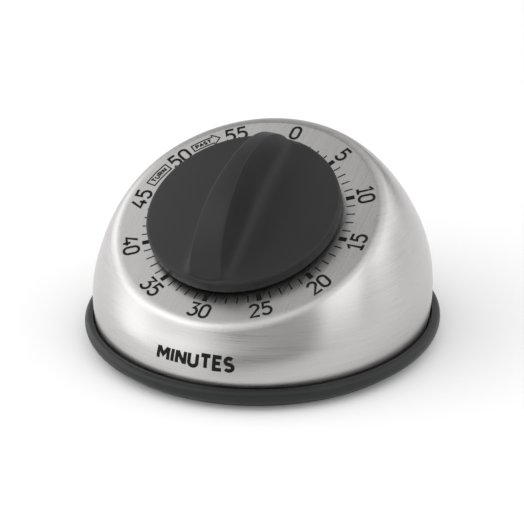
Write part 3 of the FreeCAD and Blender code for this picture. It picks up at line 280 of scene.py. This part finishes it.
FLANK_REACH = 0.85
SWEEP_REACH = 3.2
SWEEP_HEIGHTS = (
    (-29.3, 0.3), (-24.0, 0.8), (-18.0, 1.5), (-8.0, 2.4), (4.0, 3.0), (16.0, 3.0), (29.3, 1.2),
)
# (radius, height) from the hollow's roof over the hub's foot to the blind end of its bore
HUB_PROFILE = (
    (5.4, RIM_TOP - 1.5), (5.2, 3.1), (5.2, 1.1), (5.0, 0.9), (2.75, 0.9), (2.6, 1.05), (2.6, 10.4),
)
HUB_REACH = 6.0
KNOB_SECTIONS = 150
BAND_STEPS = 5
CORNER_STEPS = 4
FLANK_STEPS = 34
FLANK_CROWDING = 2.2
RIM_STEPS = 5


def along(table, at):
    """The value of a table of (place, value) pairs at a place, on straight lines between them."""
    for (start, low), (end, high) in zip(table, table[1:]):
        if at <= end:
            part = max(0.0, (at - start) / (end - start))
            return low + (high - low) * part
    return table[-1][1]


def smooth_along(table, at, reach=2.0):
    """The same, averaged over a short run so that the table's corners don't show."""
    steps = 9
    return sum(along(table, at + reach * (2.0 * i / (steps - 1) - 1.0)) for i in range(steps)) / steps


def knob_section(s, side):
    """Half of the knob's cross-section at s: points (w, height) from the middle outwards.

    The disc sits slightly to one side of the fin, so the two halves (side 1 and -1) differ.
    """
    chord = math.sqrt(max(0.0, TOP_RADIUS ** 2 - s * s))
    edge = chord + side * DISC_OFFSET * min(1.0, chord / OFFSET_FADE)
    top = FIN_TOP * math.sqrt(max(0.0, 1.0 - (s / FIN_HALF_LENGTH) ** 2))
    if s < 0.0:
        top = max(top, RIM_TOP + TAIL_LIFT * min(1.0, chord / TAIL_FADE))
    half = min(smooth_along(FIN_HALF_WIDTHS, s), WIDEST_FIN * edge)

    def cheek(w):
        return RIM_TOP + CHEEK_CROWN * (1.0 - (s * s + w * w) / TOP_RADIUS ** 2)

    # the crest, slightly crowned
    crown = FIN_CROWN * min(1.0, max(0.0, top - cheek(half)))
    round_in = min(EDGE_ROUND, 0.25 * half)
    points = []
    for i in range(BAND_STEPS):
        w = (half - round_in) * i / (BAND_STEPS - 1)
        points.append((w, top - crown * (w / max(half, 1e-6)) ** 2))
    # its rounded edge
    crest = points[-1][1]
    for i in range(1, CORNER_STEPS):
        turn = 0.5 * math.pi * i / CORNER_STEPS
        w = half - round_in + round_in * math.sin(turn)
        points.append((w, crest - round_in * (1.0 - math.cos(turn))))
    # the flank, steep at first and then sweeping out into the cheek
    lift = max(0.0, crest - round_in - cheek(half))
    sweep = min(smooth_along(SWEEP_HEIGHTS, s), 0.6 * lift)
    for i in range(FLANK_STEPS):
        away = (edge - half) * (i / (FLANK_STEPS - 1)) ** FLANK_CROWDING
        steep = (lift - sweep) * math.exp(-away / FLANK_REACH)
        points.append((half + away, cheek(half + away) + steep + sweep * math.exp(-away / SWEEP_REACH)))
    return points


def make_knob():
    """The knob: sections along the fin, then rings of points for the rim, the hollow and the hub."""
    mesh = bmesh.new()
    rows = []
    for i in range(KNOB_SECTIONS + 1):
        angle = math.pi * (i / KNOB_SECTIONS - 0.5)
        s = TOP_RADIUS * math.sin(angle)
        section = [(-w, n) for w, n in reversed(knob_section(s, -1.0)[1:])] + knob_section(s, 1.0)
        rows.append([mesh.verts.new(on_dial(w, s, n)) for w, n in section])
    for low, high in zip(rows, rows[1:]):
        for a, b, c, d in zip(low, low[1:], high[1:], high):
            mesh.faces.new((a, b, c, d))
    count = 2 * KNOB_SECTIONS
    ring = [row[-1] for row in rows] + [row[0] for row in reversed(rows[1:-1])]
    rim = []
    for vert in ring:
        local = vert.co - DIAL_CENTRE
        x, u, n = (local.dot(axis) / MM for axis in (DIAL_RIGHT, DIAL_UP, DIAL_OUT))
        rim.append((x - DISC_OFFSET, u, n))
    # "edge" heights count from the rim's own height, the others from the dial
    profile = []
    for k in range(1, RIM_STEPS + 1):
        turn = 0.5 * math.pi * k / RIM_STEPS
        drop = RIM_ROUND * (1.0 - math.cos(turn))
        profile.append(("edge", TOP_RADIUS + RIM_ROUND * math.sin(turn), -drop))
    inner = KNOB_RADIUS - RIM_WALL
    hollow = (
        (KNOB_RADIUS, RIM_FOOT + 0.25), (KNOB_RADIUS - 0.25, RIM_FOOT), (inner + 0.2, RIM_FOOT),
        (inner, RIM_FOOT + 0.2), (inner - 0.6, RIM_TOP - 2.0),
    )
    profile += [("below", *place) for place in hollow + HUB_PROFILE]
    last = ring
    for kind, radius, height in profile:
        new = []
        offset = DISC_OFFSET if radius > HUB_REACH else 0.0
        for x, u, n in rim:
            length = math.hypot(x, u)
            level = n + height if kind == "edge" else height
            new.append(mesh.verts.new(on_dial(offset + x / length * radius, u / length * radius, level)))
        for i in range(count):
            j = (i + 1) % count
            mesh.faces.new((last[i], last[j], new[j], new[i]))
        last = new
    mesh.faces.new(last)
    bmesh.ops.remove_doubles(mesh, verts=mesh.verts, dist=2e-6)
    bmesh.ops.dissolve_degenerate(mesh, edges=mesh.edges, dist=1e-7)
    bmesh.ops.recalc_face_normals(mesh, faces=mesh.faces)
    data = finished(mesh, "knob_shape")
    knob = make_piece("knob_sculpted", data, LOOKS["knob_plastic"], "knob_and_arbor")
    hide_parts("knob")


# ---------------------------------------------------------------- printing
def arc(cx, cy, rx, ry, start, end, steps=14):
    """Points on an ellipse's arc; angles in degrees from the right, anticlockwise."""
    angles = [math.radians(start + (end - start) * i / steps) for i in range(steps + 1)]
    return [(cx + rx * math.cos(angle), cy + ry * math.sin(angle)) for angle in angles]


# character: its width, and its strokes as points, all in heights of the lettering
GLYPHS = {
    "0": (0.56, [arc(0.28, 0.72, 0.24, 0.28, 0, 180) + arc(0.28, 0.28, 0.24, 0.28, 180, 360)
                 + [(0.52, 0.72)]]),
    "1": (0.46, [[(0.04, 0.8), (0.26, 1.0), (0.26, 0.0)], [(0.06, 0.0), (0.46, 0.0)]]),
    "2": (0.56, [arc(0.28, 0.74, 0.23, 0.26, 165, -25) + [(0.04, 0.0), (0.54, 0.0)]]),
    "3": (0.56, [[(0.05, 1.0), (0.5, 1.0), (0.24, 0.6)] + arc(0.26, 0.31, 0.26, 0.31, 75, -150)]),
    "4": (0.60, [[(0.3, 1.0), (0.03, 0.26), (0.58, 0.26)], [(0.42, 0.5), (0.42, 0.0)]]),
    "5": (0.56, [[(0.5, 1.0), (0.1, 1.0), (0.08, 0.56)] + arc(0.26, 0.32, 0.26, 0.32, 110, -150)]),
    "M": (0.84, [[(0.05, 0.0), (0.05, 1.0)], [(0.1, 0.95), (0.42, 0.36), (0.74, 0.95)],
                 [(0.79, 1.0), (0.79, 0.0)]]),
    "I": (0.14, [[(0.07, 0.0), (0.07, 1.0)]]),
    "N": (0.68, [[(0.05, 0.0), (0.05, 1.0)], [(0.1, 0.94), (0.58, 0.06)], [(0.63, 0.0), (0.63, 1.0)]]),
    "U": (0.66, [[(0.05, 1.0), (0.05, 0.3)] + arc(0.33, 0.3, 0.28, 0.3, 180, 360) + [(0.61, 1.0)]]),
    "T": (0.64, [[(0.0, 1.0), (0.64, 1.0)], [(0.32, 1.0), (0.32, 0.0)]]),
    "E": (0.54, [[(0.54, 1.0), (0.05, 1.0), (0.05, 0.0), (0.54, 0.0)], [(0.05, 0.52), (0.46, 0.52)]]),
    "S": (0.58, [arc(0.29, 0.75, 0.24, 0.25, 35, 250, 12) + arc(0.29, 0.25, 0.26, 0.26, 70, -150, 12)]),
    "R": (0.62, [[(0.05, 0.0), (0.05, 1.0), (0.3, 1.0)] + arc(0.3, 0.74, 0.26, 0.26, 90, -90)
                 + [(0.05, 0.48)], [(0.34, 0.48), (0.6, 0.0)]]),
    "P": (0.58, [[(0.05, 0.0), (0.05, 1.0), (0.3, 1.0)] + arc(0.3, 0.73, 0.25, 0.27, 90, -90)
                 + [(0.05, 0.46)]]),
    "A": (0.66, [[(0.0, 0.0), (0.33, 1.0), (0.66, 0.0)], [(0.12, 0.34), (0.54, 0.34)]]),
}
INK_ABOVE = 0.03
INK_BELOW = -0.02
SHARPEST_MITRE = 0.7
SAME_PLACE = 1e-6


def ribbon(mesh, points, width, place):
    """A flat printed stroke along a line of points: place(x, y, lift) says where a point goes."""
    closed = math.dist(points[0], points[-1]) < SAME_PLACE
    if closed:
        points = points[:-1]
    count = len(points)
    sides = ([], [])
    for i, point in enumerate(points):
        before = points[(i - 1) % count] if closed or i else point
        after = points[(i + 1) % count] if closed or i < count - 1 else point
        directions = []
        for start, end in ((before, point), (point, after)):
            length = math.dist(start, end)
            if length > 1e-9:
                directions.append(((end[0] - start[0]) / length, (end[1] - start[1]) / length))
        across = (-sum(d[1] for d in directions), sum(d[0] for d in directions))
        size = math.hypot(*across)
        across = (across[0] / size, across[1] / size)
        lean = max(SHARPEST_MITRE, across[0] * -directions[0][1] + across[1] * directions[0][0])
        for side, sign in zip(sides, (1.0, -1.0)):
            reach = sign * 0.5 * width / lean
            side.append((point[0] + across[0] * reach, point[1] + across[1] * reach))
    tops = [[mesh.verts.new(place(x, y, INK_ABOVE)) for x, y in side] for side in sides]
    feet = [[mesh.verts.new(place(x, y, INK_BELOW)) for x, y in side] for side in sides]
    for i in range(count if closed else count - 1):
        j = (i + 1) % count
        mesh.faces.new((tops[0][i], tops[1][i], tops[1][j], tops[0][j]))
        mesh.faces.new((tops[0][j], feet[0][j], feet[0][i], tops[0][i]))
        mesh.faces.new((tops[1][i], feet[1][i], feet[1][j], tops[1][j]))
    if not closed:
        for i in (0, count - 1):
            mesh.faces.new((tops[0][i], tops[1][i], feet[1][i], feet[0][i]))


UNDIVIDED = 9.0


def divide(points, longest):
    """The same line with its long runs divided, so that it can bend over a curved surface."""
    out = [points[0]]
    for start, end in zip(points, points[1:]):
        steps = max(1, math.ceil(math.dist(start, end) / longest))
        for i in range(1, steps + 1):
            out.append(tuple(a + (b - a) * i / steps for a, b in zip(start, end)))
    return out


def write(mesh, text, height, width, gap, place, longest=UNDIVIDED):
    """Writes a word centred on the origin of place, in strokes of a width with a gap between letters."""
    total = sum(GLYPHS[c][0] for c in text) * height + gap * (len(text) - 1)
    x = -0.5 * total
    for character in text:
        advance, strokes = GLYPHS[character]
        for stroke in strokes:
            points = [(x + px * height, (py - 0.5) * (height - width)) for px, py in stroke]
            ribbon(mesh, divide(points, longest), width, place)
        x += advance * height + gap


def minute_place(minute, radius, outward=True):
    """Places print flat on the dial, centred at a minute, with its top outward or inward."""
    angle = math.radians(6.0 * minute)
    away = Vector((math.sin(angle), math.cos(angle)))
    clockwise = Vector((math.cos(angle), -math.sin(angle)))
    sign = 1.0 if outward else -1.0

    def place(x, y, lift):
        spot = away * (radius + sign * y) + clockwise * (sign * x)
        return on_dial(spot.x, spot.y, lift)
    return place


def curved_place(minute, radius):
    """Places print that follows the dial's circle, centred at a minute."""
    def place(x, y, lift):
        angle = math.radians(6.0 * minute) + x / radius
        reach = radius + y
        return on_dial(reach * math.sin(angle), reach * math.cos(angle), lift)
    return place


FIGURE_RADIUS = 36.04
FIGURE_HEIGHT = 5.45
FIGURE_STROKE = 0.84
FIGURE_GAP = 0.62
TICK_RADIUS = 31.26
TICK_LENGTH = 2.6
BLOCK_WIDTH = 1.5
TICK_WIDTH = 0.42
OUTLINE_WIDTH = 0.42
DIVISION = 1.0
# The two small marks: their outlines in mm round their own middles, and the words inside them.
BOX = ((-4.1, -1.45), (4.1, -1.45), (4.1, 1.45), (-4.1, 1.45), (-4.1, -1.45))
BOX_MINUTE, BOX_RADIUS = 47.7, 36.2
BOX_WORD = ("TURN", 1.8, 0.46, 0.4)
ARROW = (
    (-4.3, -1.3), (2.4, -1.3), (2.4, -2.2), (4.6, 0.0), (2.4, 2.2), (2.4, 1.3), (-4.3, 1.3), (-4.3, -1.3),
)
ARROW_MINUTE, ARROW_RADIUS = 52.45, 36.5
ARROW_WORD = ("PAST", 1.6, 0.44, 0.36)
ARROW_WORD_MINUTE = 52.25


def print_outline(mesh, outline, minute, radius):
    """A closed outline that follows the dial's circle."""
    points = divide(outline, DIVISION)[:-1] + [outline[0]]
    ribbon(mesh, points, OUTLINE_WIDTH, curved_place(minute, radius))


def print_dial():
    """Sixty minute marks, the figures, a boxed word and a word in an arrow."""
    mesh = bmesh.new()
    half = 0.5 * TICK_LENGTH
    for minute in range(60):
        numbered = minute % 5 == 0
        width = BLOCK_WIDTH if numbered else TICK_WIDTH
        ribbon(mesh, [(0.0, -half), (0.0, half)], width, minute_place(minute, TICK_RADIUS))
        if numbered:
            place = minute_place(minute, FIGURE_RADIUS, outward=minute >= 45 or minute <= 10)
            write(mesh, str(minute), FIGURE_HEIGHT, FIGURE_STROKE, FIGURE_GAP, place)
    print_outline(mesh, BOX, BOX_MINUTE, BOX_RADIUS)
    write(mesh, *BOX_WORD, curved_place(BOX_MINUTE, BOX_RADIUS), DIVISION)
    print_outline(mesh, ARROW, ARROW_MINUTE, ARROW_RADIUS)
    write(mesh, *ARROW_WORD, curved_place(ARROW_WORD_MINUTE, ARROW_RADIUS), DIVISION)
    bmesh.ops.recalc_face_normals(mesh, faces=mesh.faces)
    make_piece("dial_print", finished(mesh, "dial_print"), INK, "case", smooth=False)


WORD_MIDDLE_TURN = 2.8
WORD_LEVEL = 13.6
WORD_HEIGHT = 4.6
WORD_STROKE = 1.12
WORD_GAP = 0.95
WORD_DIVISION = 0.8
WALL_RADIUS = 50.0
CLEAR_OF_WALL = 0.2


def print_wall_word():
    """One word on the front of the wall, wrapped on the shell."""
    shell = frame["nodes"]["steel_shell"].data
    tree = BVHTree.FromPolygons([v.co for v in shell.vertices], [p.vertices for p in shell.polygons])
    level = Vector((0.0, 0.0, WORD_LEVEL * MM))

    def place(x, y, lift):
        angle = math.radians(WORD_MIDDLE_TURN) + x / WALL_RADIUS
        out = Vector((math.sin(angle), -math.cos(angle), 0.0))
        slope = Vector((0.0, 0.0, y * MM))
        spot, normal, _, _ = tree.ray_cast(out * CLEAR_OF_WALL + level + slope, -out)
        return spot + normal * lift * MM

    mesh = bmesh.new()
    write(mesh, "MINUTES", WORD_HEIGHT, WORD_STROKE, WORD_GAP, place, WORD_DIVISION)
    bmesh.ops.recalc_face_normals(mesh, faces=mesh.faces)
    make_piece("wall_print", finished(mesh, "wall_print"), INK, "case", smooth=False)


make_knob()
print_dial()
print_wall_word()


# ---------------------------------------------------------------- floor, light and camera
FLOOR_GLOW = 0.044
FLOOR_REACH = 3.0


def make_floor():
    """A plain white paper floor that glows slightly, so that it stays white."""
    mesh = bmesh.new()
    bmesh.ops.create_grid(mesh, x_segments=40, y_segments=40, size=FLOOR_REACH)
    data = finished(mesh, "floor")
    floor = bpy.data.objects.new("floor", data)
    bpy.context.scene.collection.objects.link(floor)
    n = Nodes("floor_paper")
    cloud = n.noise(n.place, 3.0)
    n.set(Base_Color=n.tint(cloud, (0.86, 0.86, 0.86), (0.9, 0.9, 0.9)), Roughness=0.9,
          Emission_Color=(1.0, 1.0, 1.0, 1.0), Emission_Strength=FLOOR_GLOW)
    data.materials.append(n.material)


def soft_light(name, place, size, power):
    """A soft panel that faces the timer."""
    data = bpy.data.lights.new(name, "AREA")
    data.shape = "RECTANGLE"
    data.size, data.size_y = size
    data.energy = power
    light = bpy.data.objects.new(name, data)
    light.location = place
    light.rotation_euler = (PANEL_TARGET - Vector(place)).to_track_quat("-Z", "Y").to_euler()
    bpy.context.scene.collection.objects.link(light)


# brightness of the even room, and each glow's full and fading half-widths in degrees
AMBIENT = 0.108
GLOW_CORE = 8.0
GLOW_EDGE = 48.0
# (turn, rise, strength) of each glow, in degrees as for direction()
GLOWS = (
    (-180.0, 12.0, 0.16), (-135.0, 12.0, 0.51), (-90.0, 12.0, 1.27), (-45.0, 12.0, 1.10),
    (90.0, 12.0, 0.51), (135.0, 12.0, 0.71), (-30.0, 48.0, 0.54), (30.0, 48.0, 0.50),
    (90.0, 48.0, 0.36), (150.0, 48.0, 0.64), (0.0, 88.0, 0.29),
)
PANEL_TARGET = Vector((0.0, 0.0, 0.04))
# (place, size, power) in metres and watts
PANELS = (
    ((-0.3, 0.05, 0.34), (0.25, 0.35), 0.191), ((-0.18, -0.22, 0.3), (0.2, 0.2), 0.126),
    ((0.3, -0.1, 0.2), (0.2, 0.3), 0.141), ((0.05, 0.3, 0.34), (0.3, 0.2), 0.012),
)


def direction(turn, rise):
    """A unit vector: turn in degrees from the front towards +X, rise in degrees above the horizon."""
    turn, rise = math.radians(turn), math.radians(rise)
    return Vector((math.sin(turn) * math.cos(rise), -math.cos(turn) * math.cos(rise), math.sin(rise)))


def make_lights():
    """A white studio: an even room with wide soft glows round it."""
    world = bpy.data.worlds.new("studio")
    world.use_nodes = True
    tree = world.node_tree
    look = tree.nodes.new("ShaderNodeTexCoord").outputs["Generated"]
    total = None
    for turn, rise, strength in GLOWS:
        towards = tree.nodes.new("ShaderNodeVectorMath")
        towards.operation = "DOT_PRODUCT"
        tree.links.new(look, towards.inputs[0])
        towards.inputs[1].default_value = direction(turn, rise)
        glow = tree.nodes.new("ShaderNodeMapRange")
        glow.interpolation_type = "SMOOTHSTEP"
        tree.links.new(towards.outputs["Value"], glow.inputs["Value"])
        glow.inputs["From Min"].default_value = math.cos(math.radians(GLOW_EDGE))
        glow.inputs["From Max"].default_value = math.cos(math.radians(GLOW_CORE))
        glow.inputs["To Max"].default_value = strength
        added = tree.nodes.new("ShaderNodeMath")
        added.operation = "ADD"
        tree.links.new(glow.outputs["Result"], added.inputs[0])
        if total is None:
            added.inputs[1].default_value = AMBIENT
        else:
            tree.links.new(total, added.inputs[1])
        total = added.outputs["Value"]
    tree.nodes["Background"].inputs["Color"].default_value = (1.0, 1.0, 1.0, 1.0)
    tree.links.new(total, tree.nodes["Background"].inputs["Strength"])
    bpy.context.scene.world = world
    for number, panel in enumerate(PANELS):
        soft_light("panel_%d" % number, *panel)


CAMERA_TURN = 26.96
CAMERA_RISE = 26.5
CAMERA_ROLL = -1.17
CAMERA_AWAY = 1.2089
CAMERA_SIDE = 0.000159
CAMERA_LIFT = -0.006729
CAMERA_TARGET = Vector((0.0, 0.0, 0.03))
SENSOR_WIDTH = 36.0
FRAME_PIXELS = 524.0
FOCAL_PIXELS = 4011.0


def make_camera():
    """The camera: turned and raised as for direction(), at a distance in metres."""
    turn, roll = math.radians(CAMERA_TURN), math.radians(CAMERA_ROLL)
    back = direction(CAMERA_TURN, CAMERA_RISE)
    right = Vector((math.cos(turn), math.sin(turn), 0.0))
    up = back.cross(right)
    across = right * math.cos(roll) + up * math.sin(roll)
    upward = up * math.cos(roll) - right * math.sin(roll)
    data = bpy.data.cameras.new("photo_camera")
    data.sensor_width = SENSOR_WIDTH
    data.lens = FOCAL_PIXELS / FRAME_PIXELS * SENSOR_WIDTH
    data.clip_start, data.clip_end = 0.05, 20.0
    camera = bpy.data.objects.new("photo_camera", data)
    place = CAMERA_TARGET + back * CAMERA_AWAY + right * CAMERA_SIDE + up * CAMERA_LIFT
    axes = Matrix((across, upward, back)).transposed()
    camera.matrix_world = Matrix.Translation(place) @ axes.to_4x4()
    bpy.context.scene.collection.objects.link(camera)
    bpy.context.scene.camera = camera


make_floor()
make_lights()
make_camera()
bpy.context.scene.view_settings.view_transform = "Standard"
